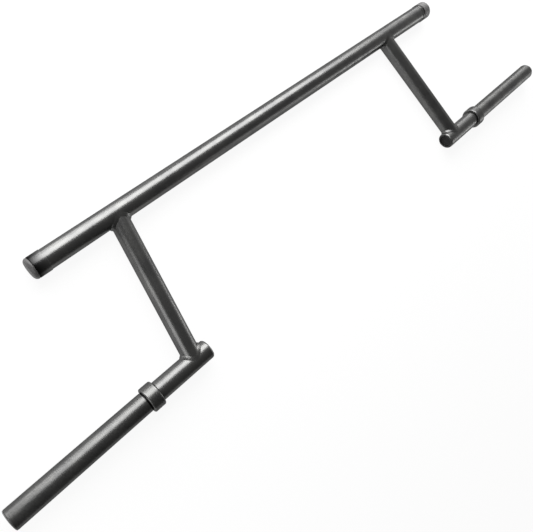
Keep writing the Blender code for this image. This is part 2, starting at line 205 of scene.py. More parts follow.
@dataclass(frozen=True)
class CoatedSteel:
    """Steel tube under a satin graphite powder coat with metal flake in it.

    The flake mirrors dark and soft-edged, the melted powder leaves a faint orange peel, and the coat's tone
    drifts a little from place to place. Rounded edges are rubbed lighter.
    """

    title: str = "satin_graphite_powder_coat"
    dark: str = "#585858"
    light: str = "#636362"
    edge: str = "#868685"
    edge_share: float = 0.35  # how much of the edge colour shows on a fully rubbed edge
    gap: str = "#161616"  # painted shade: near-black, in seams and grooves beside other parts
    flake: float = 0.9  # metallic share
    smoothest: float = 0.26
    roughest: float = 0.33
    grazing: str = "#a8a8a8"  # tint of the mirror at a grazing angle
    cloud_mm: float = 38.0
    cloud_span: tuple[float, float] = (0.35, 0.65)  # the noise that runs from dark to light
    peel_mm: float = 2.2
    peel_height_mm: float = 0.010
    grain_mm: float = 0.9
    grain_span: tuple[float, float] = (0.3, 0.7)  # the noise that most grains lie in
    grain_depth: float = 0.06  # how much of the tone the grain takes away
    grain_stretch: tuple[float, float, float] = (1.0, 1.0, 1.0)

    def material(self) -> bpy.types.Material:
        """Builds the node material.

        Returns:
            The material, whose patterns follow Object coordinates. The mesh's rub attribute is 1 on
            rubbed edges and -1 in seams and grooves beside other parts, where shade is painted dark.
        """
        made, place = start_material(self.title)
        tree = made.node_tree
        shader = tree.nodes["Principled BSDF"]
        tone = self.drift(tree, place)
        grain = self.grain(tree, place)
        rub = add_node(tree, "ShaderNodeAttribute", attribute_name="rub").outputs["Fac"]
        sprayed = self.speckled(tree, tone, grain)
        # Rubbed edges are lighter from wear; marked seams and grooves get painted shade.
        colour = self.with_gaps(tree, self.worn(tree, sprayed, tone, rub), rub)
        gloss = self.over_grain(tree, grain, self.smoothest, self.roughest)
        tree.links.new(colour, shader.inputs["Base Color"])
        tree.links.new(gloss, shader.inputs["Roughness"])
        tree.links.new(self.orange_peel(tree, place), shader.inputs["Normal"])
        shader.inputs["Metallic"].default_value = self.flake
        shader.inputs["Specular Tint"].default_value = linear(self.grazing)
        return made

    def drift(self, tree: bpy.types.NodeTree, place: bpy.types.NodeSocket) -> bpy.types.NodeSocket:
        """A broad cloud from 0, the dark tone, to 1, the light one."""
        cloud = add_node(
            tree,
            "ShaderNodeTexNoise",
            {"Vector": place, "Scale": per_mm(self.cloud_mm), "Detail": 4.0, "Roughness": 0.55},
        )
        low, high = self.cloud_span
        span = {"Value": cloud.outputs["Fac"], "From Min": low, "From Max": high}
        return add_node(tree, "ShaderNodeMapRange", span).outputs["Result"]

    def grain(self, tree: bpy.types.NodeTree, place: bpy.types.NodeSocket) -> bpy.types.NodeSocket:
        """The fine grain of the melted powder, stretched if the coat was worked along."""
        along = add_node(
            tree, "ShaderNodeMapping", {"Vector": place, "Scale": self.grain_stretch}
        ).outputs["Vector"]
        fine = add_node(
            tree,
            "ShaderNodeTexNoise",
            {"Vector": along, "Scale": per_mm(self.grain_mm), "Detail": 3.0, "Roughness": 0.6},
        )
        return fine.outputs["Fac"]

    def over_grain(
        self, tree: bpy.types.NodeTree, grain: bpy.types.NodeSocket, low: float, high: float
    ) -> bpy.types.NodeSocket:
        """A value that runs from low to high with the grain."""
        span = {"From Min": self.grain_span[0], "From Max": self.grain_span[1]}
        inputs = {"Value": grain, **span, "To Min": low, "To Max": high}
        return add_node(tree, "ShaderNodeMapRange", inputs).outputs["Result"]

    def speckled(
        self, tree: bpy.types.NodeTree, tone: bpy.types.NodeSocket, grain: bpy.types.NodeSocket
    ) -> bpy.types.NodeSocket:
        """The coat's colour where it is whole: its tone, lighter and darker with the grain."""
        base = add_node(
            tree,
            "ShaderNodeMix",
            {"Factor": tone, "A": linear(self.dark), "B": linear(self.light)},
            data_type="RGBA",
        )
        speck = self.over_grain(tree, grain, 1 - self.grain_depth, 1 + self.grain_depth)
        inputs = {0: base.outputs["Result"], 1: speck}
        return add_node(tree, "ShaderNodeVectorMath", inputs, operation="MULTIPLY").outputs["Vector"]

    def worn(
        self,
        tree: bpy.types.NodeTree,
        colour: bpy.types.NodeSocket,
        tone: bpy.types.NodeSocket,
        rub: bpy.types.NodeSocket,
    ) -> bpy.types.NodeSocket:
        """The colour with its rubbed edges lighter, in patches that follow the tone."""
        share = rub
        for factor in (tone, self.edge_share):
            inputs = {0: share, 1: factor}
            share = add_node(tree, "ShaderNodeMath", inputs, operation="MULTIPLY").outputs["Value"]
        inputs = {"Factor": share, "A": colour, "B": linear(self.edge)}
        return add_node(tree, "ShaderNodeMix", inputs, data_type="RGBA").outputs["Result"]

    def with_gaps(
        self, tree: bpy.types.NodeTree, colour: bpy.types.NodeSocket, rub: bpy.types.NodeSocket
    ) -> bpy.types.NodeSocket:
        """The colour, painted dark as shade where the mesh marks seams and grooves beside other parts."""
        span = {"Value": rub, "From Min": 0.0, "From Max": -1.0}
        shade_share = add_node(tree, "ShaderNodeMapRange", span).outputs["Result"]
        inputs = {"Factor": shade_share, "A": colour, "B": linear(self.gap)}
        return add_node(tree, "ShaderNodeMix", inputs, data_type="RGBA").outputs["Result"]

    def orange_peel(
        self, tree: bpy.types.NodeTree, place: bpy.types.NodeSocket
    ) -> bpy.types.NodeSocket:
        """The faint waves that the melted powder sets in."""
        peel = add_node(
            tree,
            "ShaderNodeTexNoise",
            {"Vector": place, "Scale": per_mm(self.peel_mm), "Detail": 2.0},
        ).outputs["Fac"]
        inputs = {"Height": peel, "Distance": self.peel_height_mm * MM, "Strength": 1.0}
        return add_node(tree, "ShaderNodeBump", inputs).outputs["Normal"]


@dataclass(frozen=True)
class MouldedPlastic:
    """Injection-moulded polyethylene with a matt, spark-eroded mould surface.

    It is soft and dull: a broad weak sheen, fine pits and no mirror image.
    """

    title: str
    colour: str
    shade: str
    roughness: float = 0.52
    roughness_spread: float = 0.08
    ior: float = 1.5
    sheen_share: float = 0.5  # 0.5 is a plastic's full mirror, less a chalkier skin
    pit_mm: float = 1.1
    pit_depth_mm: float = 0.05

    def material(self) -> bpy.types.Material:
        """Builds the node material.

        Returns:
            The material, whose pits follow Object coordinates.
        """
        made, place = start_material(self.title)
        tree = made.node_tree
        shader = tree.nodes["Principled BSDF"]
        pits = add_node(
            tree,
            "ShaderNodeTexNoise",
            {"Vector": place, "Scale": per_mm(self.pit_mm), "Detail": 3.0, "Roughness": 0.6},
        )
        colours = (self.shade, self.colour)
        gloss = (self.roughness - self.roughness_spread, self.roughness + self.roughness_spread)
        follow(pits.outputs["Fac"], shader, colours, gloss, self.pit_depth_mm)
        shader.inputs["IOR"].default_value = self.ior
        shader.inputs["Specular IOR Level"].default_value = self.sheen_share
        return made


@dataclass(frozen=True)
class TurnedMetal:
    """Bare metal as it comes off the lathe, with fine feed marks round the X axis.

    The marks stretch the mirror image across them into a soft streak.
    """

    title: str
    light: str
    dark: str
    roughness: float = 0.28
    roughness_spread: float = 0.06
    feed_mm: float = 0.35
    mark_stretch: tuple[float, float, float] = (1.0, 0.03, 0.03)
    mark_depth_mm: float = 0.004

    def material(self) -> bpy.types.Material:
        """Builds the node material.

        Returns:
            The material, whose marks run round the X axis in Object coordinates.
        """
        made, place = start_material(self.title)
        tree = made.node_tree
        shader = tree.nodes["Principled BSDF"]
        along = add_node(
            tree, "ShaderNodeMapping", {"Vector": place, "Scale": self.mark_stretch}
        )
        marks = add_node(
            tree,
            "ShaderNodeTexNoise",
            {"Vector": along.outputs["Vector"], "Scale": per_mm(self.feed_mm), "Detail": 2.0},
        )
        colours = (self.dark, self.light)
        gloss = (self.roughness - self.roughness_spread, self.roughness + self.roughness_spread)
        follow(marks.outputs["Fac"], shader, colours, gloss, self.mark_depth_mm)
        shader.inputs["Metallic"].default_value = 1.0
        return made


@dataclass
class Finishes:
    """One material of each finish on the bar."""

    bar: bpy.types.Material = field(init=False)
    frame: bpy.types.Material = field(init=False)
    sleeve: bpy.types.Material = field(init=False)
    weld: bpy.types.Material = field(init=False)
    bar_plug: bpy.types.Material = field(init=False)
    stub_plug: bpy.types.Material = field(init=False)
    cap: bpy.types.Material = field(init=False)
    steel: bpy.types.Material = field(init=False)
    bronze: bpy.types.Material = field(init=False)

    def __post_init__(self) -> None:
        """Makes the materials."""
        self.bar = CoatedSteel(title="satin_graphite_coat_on_the_bar").material()
        self.frame = CoatedSteel(
            title="satin_graphite_coat_on_the_posts", smoothest=0.29, roughest=0.38
        ).material()
        # Plates slide on and off here, so the coat is rougher, and its fine marks run round the sleeve.
        # The grain is drawn about twice as coarse as it is, so that it shows.
        self.sleeve = CoatedSteel(
            title="fine_grained_graphite_coat_on_the_sleeves",
            dark="#515151",
            light="#5d5d5c",
            smoothest=0.28,
            roughest=0.41,
            grain_mm=1.0,
            grain_depth=0.20,
            grain_stretch=(1.0, 0.16, 0.16),
        ).material()
        self.weld = CoatedSteel(
            title="graphite_coat_on_the_weld_beads",
            dark="#555555",
            light="#616160",
            smoothest=0.26,
            roughest=0.36,
        ).material()
        self.bar_plug = MouldedPlastic(
            title="dark_grey_moulded_polyethylene", colour="#474646", shade="#3b3a3a"
        ).material()
        self.stub_plug = MouldedPlastic(
            title="black_moulded_polyethylene",
            colour="#1c1c1c",
            shade="#101010",
            roughness=0.6,
            sheen_share=0.2,
            pit_mm=1.6,
        ).material()
        self.cap = MouldedPlastic(
            title="grey_moulded_nylon", colour="#565656", shade="#474747", roughness=0.4
        ).material()
        self.steel = TurnedMetal(
            title="turned_bright_steel", light="#c9cacd", dark="#a9aaad"
        ).material()
        self.bronze = TurnedMetal(
            title="turned_bearing_bronze", light="#c39a5c", dark="#a57d43", roughness=0.34
        ).material()


# Surfaces


@dataclass(frozen=True)
class Surface:
    """A mesh's points and faces, and how rubbed each point is or whether shade is painted on it.

    That is 1 on a rubbed edge, 0 on most of the skin and -1 where shade is painted dark, in seams and grooves
    beside other parts.
    """

    points: np.ndarray
    faces: list[list[int]]
    rub: np.ndarray


def circle(steps: int) -> np.ndarray:
    """Angles spread evenly round a full turn."""
    return np.arange(steps) * 2 * pi / steps


def skin(grid: np.ndarray, rub: np.ndarray) -> Surface:
    """Covers a grid of points that closes on itself both ways.

    Each face joins point (i, j) to (i+1, j), (i+1, j+1) and (i, j+1), counting round past the last row and
    column. Points that fall together become one, so a row that shrinks to a point closes as a pole. Faces
    left with fewer than three corners are dropped, and all are turned over if the volume comes out
    negative.

    Args:
        grid: points, as rows by columns by three.
        rub: how rubbed each point of the grid is, as Surface takes it.

    Returns:
        The closed surface.
    """
    rows, columns, _ = grid.shape
    flat = grid.reshape(-1, 3)
    cells = np.round(flat / MERGE).astype(np.int64)
    _, first, place = np.unique(cells, axis=0, return_index=True, return_inverse=True)
    index = place.reshape(rows, columns)
    after_row = np.roll(index, -1, axis=0)
    after_column = np.roll(index, -1, axis=1)
    after_both = np.roll(after_row, -1, axis=1)
    quads = np.stack([index, after_row, after_both, after_column], axis=-1).reshape(-1, 4)
    repeated = quads == np.roll(quads, -1, axis=1)
    whole = quads[~repeated.any(axis=1)]
    pinched = repeated.sum(axis=1) == 1
    thin = quads[pinched][~repeated[pinched]].reshape(-1, 3)
    points = flat[first]
    fans = np.concatenate([whole[:, [0, 1, 2]], whole[:, [0, 2, 3]], thin])
    volume = np.einsum(
        "ij,ij->i", points[fans[:, 0]], np.cross(points[fans[:, 1]], points[fans[:, 2]])
    ).sum()
    turn = 1 if volume > 0 else -1
    faces = whole[:, ::turn].tolist() + thin[:, ::turn].tolist()
    return Surface(points, faces, rub.reshape(-1)[first])


def outline(
    corners: Sequence[tuple[float, float, float]], hold: float = 0.25 * MM
) -> tuple[np.ndarray, np.ndarray]:
    """Rounds the corners of a closed outline of (distance along X, radius).

    With unit vectors a and b from a corner to its neighbours, and t the round's radius over the tangent of
    half the angle between them, the arc runs from corner + t a to corner + t b about the point that lies
    radius over sine of that half angle along their bisector. A point set a little way out from each end of
    the arc keeps the flat or cylinder next to it from shading as if it were bent.

    Args:
        corners: (x, radius, radius of the round) of each corner, in order round the outline.
        hold: how far out from the arc the extra points lie.

    Returns:
        The outline's points, and how rubbed each one is: 1 on the arcs of true rounds, else 0.
    """
    table = np.array(corners, float)
    here, size = table[:, :2], table[:, 2]
    back = np.roll(here, 1, axis=0) - here
    on = np.roll(here, -1, axis=0) - here
    back_length = np.linalg.norm(back, axis=1, keepdims=True)
    on_length = np.linalg.norm(on, axis=1, keepdims=True)
    a, b = back / back_length, on / on_length
    half = np.arccos(np.clip((a * b).sum(axis=1), -1, 1)) / 2
    tangent = (size / np.tan(half))[:, None]
    bisector = a + b
    reach = np.linalg.norm(bisector, axis=1, keepdims=True)
    bisector = np.divide(bisector, reach, out=np.zeros_like(bisector), where=reach > 0)
    centre = here + bisector * (size / np.sin(half))[:, None]
    start = here + a * tangent - centre
    sweep = (pi - 2 * half)[:, None, None]
    share = np.linspace(0, 1, ROUND_STEPS + 1)[None, :, None]
    rounded = size[:, None] > 0
    radius = np.where(rounded, size[:, None], 1)
    u = start / radius
    end = here + b * tangent - centre
    w = end / radius - u * np.cos(sweep[:, :, 0])
    w = np.divide(w, np.linalg.norm(w, axis=1, keepdims=True), out=np.zeros_like(w), where=rounded)
    arc = centre[:, None] + size[:, None, None] * (
        np.cos(sweep * share) * u[:, None] + np.sin(sweep * share) * w[:, None]
    )
    before = here + a * np.minimum(tangent + hold, back_length * 0.5)
    after = here + b * np.minimum(tangent + hold, on_length * 0.5)
    points = np.concatenate([before[:, None], arc, after[:, None]], axis=1)
    rub = np.zeros(points.shape[:2])
    rub[:, 1:-1] = rounded
    return points.reshape(-1, 2), rub.reshape(-1)


def spin(
    profile: np.ndarray, rub: np.ndarray, end: int, axis: tuple[float, float]
) -> Surface:
    """Spins a profile about an axis along X.

    A point at (x, r) of the profile goes to (end x, y + r cos t, z + r sin t) as t runs round the circle.

    Args:
        profile: (x, radius) of each point in order round the outline, drawn for the +X end.
        rub: how rubbed each point is, as Surface takes it.
        end: 1 or -1, the sign of X where the piece lies.
        axis: y and z of the axis.

    Returns:
        The closed surface.
    """
    turn = circle(SEGMENTS)
    x = np.broadcast_to(end * profile[:, :1], (len(profile), SEGMENTS))
    y = axis[0] + profile[:, 1:] * np.cos(turn)
    z = axis[1] + profile[:, 1:] * np.sin(turn)
    return skin(np.stack([x, y, z], axis=-1), np.broadcast_to(rub[:, None], x.shape))


def turned(
    corners: Sequence[tuple[float, float, float]],
    end: int,
    axis: tuple[float, float],
    gap: tuple[float, float] | None = None,
) -> Surface:
    """Spins an outline with rounded corners about an axis along X.

    Args:
        corners: the outline's corners, as outline() takes them, drawn for the +X end.
        end: 1 or -1, the sign of X where the piece lies.
        axis: y and z of the axis.
        gap: from where to where along X the outline's points are painted dark as shade, if anywhere. The
            painted shade fades out between them and the next points, so a corner at the span's edge keeps it
            crisp.

    Returns:
        The closed surface.
    """
    profile, rub = outline(corners)
    if gap:
        # Marks the span that gets painted shade.
        rub = np.where((profile[:, 0] >= gap[0]) & (profile[:, 0] <= gap[1]), -1.0, rub)
    return spin(profile, rub, end, axis)


def make_piece(
    name: str,
    surface: Surface,
    finish: bpy.types.Material,
    body: str,
    nodes: Sequence[str],
) -> None:
    """Makes a surface an object that stands for CAD nodes and moves with a body.

    Args:
        name: the piece's name.
        surface: its mesh.
        finish: its material.
        body: the body that it rides on.
        nodes: the CAD nodes that it stands for.
    """
    mesh = bpy.data.meshes.new(name)
    mesh.from_pydata(surface.points.tolist(), [], surface.faces)
    mesh.attributes.new("rub", "FLOAT", "POINT").data.foreach_set(
        "value", surface.rub.astype(np.float32)
    )
    mesh.shade_smooth()
    mesh.set_sharp_from_angle(angle=HARD_EDGE)
    mesh.materials.append(finish)
    piece = bpy.data.objects.new(name, mesh)
    bpy.context.scene.collection.objects.link(piece)
    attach(piece, body)
    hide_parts(*nodes)
    LOG.info("%s: %d faces, for %s", name, len(surface.faces), ", ".join(nodes))


def make_end_piece(
    end: End,
    name: str,
    surface: Surface,
    finish: bpy.types.Material,
    node: str,
    body: str = Body.FRAME.value,
) -> None:
    """Makes the piece that stands for one CAD node at one end, both named without the end's word."""
    make_piece(f"{end.label}_{name}", surface, finish, body, [f"{end.label}_{node}"])


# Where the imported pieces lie


@dataclass(frozen=True)
class Turning:
    """Where a turned CAD node lies: its ends, as distances from the bar's middle, its axis and its radius."""

    inboard: float
    outboard: float
    y: float
    z: float
    radius: float

    @classmethod
    def of(cls, node: str) -> "Turning":
        """Reads a node's box. Its flats face along Y and Z, so the radius to its corners is larger."""
        low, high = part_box(node)
        ends = sorted((abs(low.x), abs(high.x)))
        return cls(
            ends[0], ends[1], (low.y + high.y) / 2, (low.z + high.z) / 2, (high.z - low.z) / 2 / FLAT
        )

    @property
    def axis(self) -> tuple[float, float]:
        """Y and z of the axis."""
        return self.y, self.z

    @property
    def flat_radius(self) -> float:
        """Radius to the flats, which a piece that touches the floor keeps to."""
        return self.radius * FLAT


def ring_corners(
    x0: float, x1: float, outer: float, inner: float, rounds: tuple[float, float]
) -> list[tuple[float, float, float]]:
    """Corners of a plain tube's wall: inner and outer radius, and the rounds of its two outer edges."""
    return [(x0, inner, 0), (x0, outer, rounds[0]), (x1, outer, rounds[1]), (x1, inner, 0)]


# The main bar and its ends


@dataclass
class MainBar:
    """The long straight tube."""

    wall: float = BAR_WALL
    edge: float = 0.4 * MM

    def build(self, finishes: Finishes) -> None:
        """Makes the tube, open at both ends, where the plugs go in."""
        bar = Turning.of("main_bar")
        half = bar.outboard
        edges = (self.edge, self.edge)
        corners = ring_corners(-half, half, bar.radius, bar.radius - self.wall, edges)
        surface = turned(corners, 1, bar.axis)
        make_piece(
            "straight_bar_tube", surface, finishes.bar, Body.FRAME.value, ["main_bar"]
        )


@dataclass
class BarEnd:
    """A ring slipped over the bar's end, and the plug that closes it."""

    end: End
    ring_gap: float = 0.15 * MM
    ring_edge: float = 0.45 * MM
    ring_mouth: float = 0.35 * MM
    bare_lip: float = 0.9 * MM  # points this near the ring's outer edge get painted shade for the seam by the plug, fading in to there
    dome_height: float = 8.8 * MM
    dome_width: float = 10.5 * MM  # how much of the radius the dome's shoulder takes
    shoulder_points: int = 18
    crown: float = 0.8 * MM
    crown_points: int = 10
    seam_depth: float = 1.6 * MM
    seam_bevel: tuple[float, float] = (0.2 * MM, 0.15 * MM)  # off the head's back: in X and in radius
    skirt: float = 0.0  # how far the plug's head reaches back over the tube
    skirt_gap: float = 0.5 * MM
    skirt_fit: float = 0.1 * MM
    skirt_bevel: float = 0.3 * MM
    spigot_gap: float = 0.3 * MM
    spigot_length: float = 24 * MM
    bar_wall: float = BAR_WALL

    def build(self, finishes: Finishes) -> None:
        """Makes the ring and the plug."""
        ring = Turning.of(f"{self.end.label}_bar_end_ring")
        bar = Turning.of("main_bar")
        ring_end = ring.outboard - self.skirt
        self.build_ring(finishes, ring, ring_end, bar.radius + self.ring_gap)
        self.build_plug(finishes, bar, ring_end + self.skirt_gap)

    def build_ring(
        self, finishes: Finishes, ring: Turning, ring_end: float, bore: float
    ) -> None:
        """A thin ring whose inboard edge shows as a step round the tube, with painted shade on its outer edge
        at the seam by the plug.
        """
        rounds = (self.ring_edge, self.ring_mouth)
        corners = ring_corners(ring.inboard, ring_end, ring.flat_radius, bore, rounds)
        # Painted shade on the ring's outer edge, in the seam by the plug.
        lip = (ring_end - self.bare_lip, ring_end)
        surface = turned(corners, self.end.value, ring.axis, lip)
        make_end_piece(
            self.end, "bar_ring_band", surface, finishes.bar, "bar_end_ring"
        )

    def build_plug(self, finishes: Finishes, bar: Turning, back: float) -> None:
        """A moulded plug with a rounded shoulder and a shallow crown, and a groove or skirt behind them.

        The shoulder is a quarter of an ellipse: the radius falls from the head's by the shoulder's width
        times one less the cosine of an angle, while X rises by its height times the sine. From there to the
        axis the face rises by the crown as one less the square of the radius.

        Args:
            finishes: the bar's finishes.
            bar: the tube that the plug closes.
            back: where the skirt ends, if the plug has one.
        """
        plug = Turning.of(f"{self.end.label}_bar_end_plug")
        head_r = plug.flat_radius
        flat_r = head_r - self.dome_width
        head = plug.outboard - self.crown - self.dome_height
        angle = np.linspace(0, pi / 2, self.shoulder_points)
        x = head + self.dome_height * np.sin(angle)
        shoulder = np.stack([x, flat_r + self.dome_width * np.cos(angle)], axis=1)
        inward = np.linspace(1, 0, self.crown_points)[1:]
        crown = np.stack([plug.outboard - self.crown * inward**2, flat_r * inward], axis=1)
        tip = bar.outboard - self.spigot_length
        seat = bar.outboard + self.spigot_gap
        spigot_r = bar.radius - self.bar_wall - self.spigot_gap
        spigot = [(tip, 0), (tip, spigot_r), (seat, spigot_r)]
        neck = head - self.seam_bevel[0]
        groove_r = head_r - self.seam_depth
        groove = [(seat, groove_r), (neck, groove_r), (neck, head_r - self.seam_bevel[1])]
        bore = bar.radius + self.skirt_fit
        skirt = [
            (seat, bore),
            (back, bore),
            (back, head_r - self.skirt_bevel),
            (back + self.skirt_bevel, head_r),
        ]
        behind = spigot + (skirt if self.skirt else groove)
        profile = np.concatenate([np.array(behind), shoulder, crown])
        surface = spin(profile, np.zeros(len(profile)), self.end.value, plug.axis)
        make_end_piece(
            self.end,
            "bar_plug_moulding",
            surface,
            finishes.bar_plug,
            "bar_end_plug",
        )


# Posts and their welds


@dataclass(frozen=True)
class PostAxis:
    """The straight line from the bar's axis down to the stub tube's axis, at one end of the bar."""

    top: np.ndarray
    foot: np.ndarray

    @classmethod
    def of(cls, node: bpy.types.Object, bar: Turning, stub: Turning) -> "PostAxis":
        """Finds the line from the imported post.

        The points of a saddle lie evenly round the post and all at one distance from the tube's axis, so
        their mean lies on the post's own axis. The two means give the line, which is then followed to the
        axes of both tubes.

        Args:
            node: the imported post.
            bar: the tube at its top.
            stub: the tube at its foot.

        Returns:
            The line.
        """
        points = np.empty(len(node.data.vertices) * 3, np.float32)
        node.data.vertices.foreach_get("co", points)
        points = np.unique(np.round(points.reshape(-1, 3).astype(float), 5), axis=0)
        means = []
        for tube in (bar, stub):
            away = np.hypot(points[:, 1] - tube.y, points[:, 2] - tube.z)
            means.append(points[away < tube.radius + SADDLE_BAND].mean(axis=0))
        step = means[1] - means[0]
        top = means[0] + step * (bar.y - means[0][1]) / step[1]
        foot = means[0] + step * (stub.y - means[0][1]) / step[1]
        return cls(top, foot)

    @property
    def down(self) -> np.ndarray:
        """Unit vector from the bar to the stub tube."""
        step = self.foot - self.top
        return step / np.linalg.norm(step)

    def around(self, turn: np.ndarray) -> np.ndarray:
        """Unit vectors across the post at these angles. Angle 0 is across both the post and X."""
        across = np.cross((1.0, 0.0, 0.0), self.down)
        across /= np.linalg.norm(across)
        along = np.cross(self.down, across)
        return np.cos(turn)[:, None] * across + np.sin(turn)[:, None] * along

    def meet(self, turn: np.ndarray, post_r: float, tube_r: float, at_top: bool) -> np.ndarray:
        """Where lines along the post, at these angles, meet the tube that the post stands on.

        A line starts at the tube's axis, offset by the post's radius, and runs a distance s along the post.
        Its distance from the tube's axis, which only Y and Z decide, equals the tube's radius where a
        quadratic in s is zero; the root towards the other tube is the one that counts.

        Args:
            turn: angles round the post.
            post_r: radius on the post.
            tube_r: radius on the tube.
            at_top: True at the bar, False at the stub tube.

        Returns:
            One point for each angle.
        """
        centre = self.top if at_top else self.foot
        away = self.down if at_top else -self.down
        offset = self.around(turn) * post_r
        a = (away[1:] ** 2).sum()
        b = 2 * offset[:, 1:] @ away[1:]
        c = (offset[:, 1:] ** 2).sum(axis=1) - tube_r**2
        reach = (-b + np.sqrt(b * b - 4 * a * c)) / (2 * a)
        return centre + offset + away * reach[:, None]


@dataclass
class Camber:
    """A post and its two weld beads, at one end of the bar."""

    end: End
    post: bpy.types.Object
    fit: float = 0.3 * MM
    wall: float = 3.5 * MM
    post_rows: tuple[int, int] = (40, 3)  # along the outer and the inner face
    bead_gap: float = 0.05 * MM
    leg: float = 5.3 * MM
    leg_wander: float = 0.25 * MM
    # How often each wave of the wander turns in a circle, its height and its phase.
    leg_waves: tuple[tuple[int, float, float], ...] = ((3, 1.0, 0.7), (7, 0.7, 2.1), (11, 0.5, 0.0))
    ripple_pitch: float = 2.6 * MM
    ripple_height: float = 0.035 * MM
    ripple_lag: float = 2.2  # radians that a ripple trails by in the middle of the bead
    ripple_fade: float = 0.7  # the smaller, the nearer to the toes the ripples reach
    fullness: float = 1.6  # 1 gives the bead a round section, and 2 a flat one
    bead_steps: int = 18
    round_steps: int = 720

    def build(self, finishes: Finishes) -> None:
        """Makes the post and both beads."""
        bar = Turning.of("main_bar")
        stub = Turning.of(f"{self.end.label}_stub_tube")
        axis = PostAxis.of(self.post, bar, stub)
        radius = self.radius(axis)
        self.build_post(finishes, axis, radius, bar.radius, stub.radius)
        self.build_weld(finishes, axis, radius, bar.radius, at_top=True)
        self.build_weld(finishes, axis, radius, stub.radius, at_top=False)

    def radius(self, axis: PostAxis) -> float:
        """The post's radius: the largest distance of its points from its axis."""
        points = np.array([v.co for v in self.post.data.vertices])
        offset = points - axis.top
        across = offset - np.outer(offset @ axis.down, axis.down)
        return float(np.linalg.norm(across, axis=1).max())

    def build_post(
        self, finishes: Finishes, axis: PostAxis, radius: float, bar_r: float, stub_r: float
    ) -> None:
        """A tube cut to a saddle at both ends: straight lines along it join the two saddles."""
        turn = circle(SEGMENTS)
        outside = np.linspace(0, 1, self.post_rows[0])
        inside = np.linspace(1, 0, self.post_rows[1])
        rows = []
        for r, share in ((radius, outside), (radius - self.wall, inside)):
            top = axis.meet(turn, r, bar_r + self.fit, at_top=True)
            foot = axis.meet(turn, r, stub_r + self.fit, at_top=False)
            rows.append(top[None] * (1 - share)[:, None, None] + foot[None] * share[:, None, None])
        grid = np.concatenate(rows)
        surface = skin(grid, np.zeros(grid.shape[:2]))
        make_end_piece(
            self.end, "splayed_post_tube", surface, finishes.frame, "post"
        )

    def build_weld(
        self, finishes: Finishes, axis: PostAxis, post_r: float, tube_r: float, at_top: bool
    ) -> None:
        """A convex fillet bead that runs round the post's end.

        At each angle the bead's section goes from its toe on the tube to its toe on the post. With R the
        root, T and P the toes and q from 0 to a quarter turn, a point is
        R + (T - R) cos(q)^n + (P - R) sin(q)^n, where n near 1 is a round section. The legs wander slowly
        with the angle, and ripples that trail in the middle of the bead lift its skin by a wave in the
        distance along the seam.
        """
        turn = circle(self.round_steps)
        over_post = post_r + self.bead_gap
        over_tube = tube_r + self.bead_gap
        centre = axis.top if at_top else axis.foot
        away = axis.down if at_top else -axis.down
        root = axis.meet(turn, over_post, over_tube, at_top)
        post_normal = axis.around(turn)
        tube_normal = root - centre
        tube_normal[:, 0] = 0
        tube_normal /= np.linalg.norm(tube_normal, axis=1, keepdims=True)
        over_the_tube = post_normal - tube_normal * (post_normal * tube_normal).sum(
            axis=1, keepdims=True
        )
        over_the_tube /= np.linalg.norm(over_the_tube, axis=1, keepdims=True)
        often, high, phase = np.array(self.leg_waves).T[:, :, None]
        wander = (high * np.sin(often * turn + phase)).sum(axis=0) / high.sum()
        leg = (self.leg + self.leg_wander * wander)[:, None]
        tube_toe = root + over_the_tube * leg
        spoke = tube_toe[:, 1:] - centre[1:]
        tube_toe[:, 1:] = centre[1:] + spoke / np.linalg.norm(spoke, axis=1, keepdims=True) * over_tube
        post_toe = root + away * leg
        seam = np.linalg.norm(np.roll(root, -1, axis=0) - root, axis=1)
        travelled = np.concatenate([[0.0], np.cumsum(seam)[:-1]])
        ripples = round(seam.sum() / self.ripple_pitch)
        q = np.linspace(0, pi / 2, self.bead_steps)[:, None]
        lag = self.ripple_lag * np.sin(2 * q)
        wave = np.cos(2 * pi * ripples * travelled / seam.sum() + lag)
        middle = np.sin(2 * q) ** self.ripple_fade
        out = post_normal + tube_normal
        out /= np.linalg.norm(out, axis=1, keepdims=True)
        skin_rows = (
            root[None]
            + (tube_toe - root)[None] * (np.cos(q) ** self.fullness)[:, :, None]
            + (post_toe - root)[None] * (np.sin(q) ** self.fullness)[:, :, None]
            + out[None] * (self.ripple_height * wave * middle)[:, :, None]
        )
        grid = np.concatenate([skin_rows, root[None]])
        place = "top" if at_top else "foot"
        surface = skin(grid, np.zeros(grid.shape[:2]))
        make_end_piece(
            self.end,
            f"{place}_weld_bead",
            surface,
            finishes.weld,
            f"post_{place}_weld",
        )


# Stub tubes


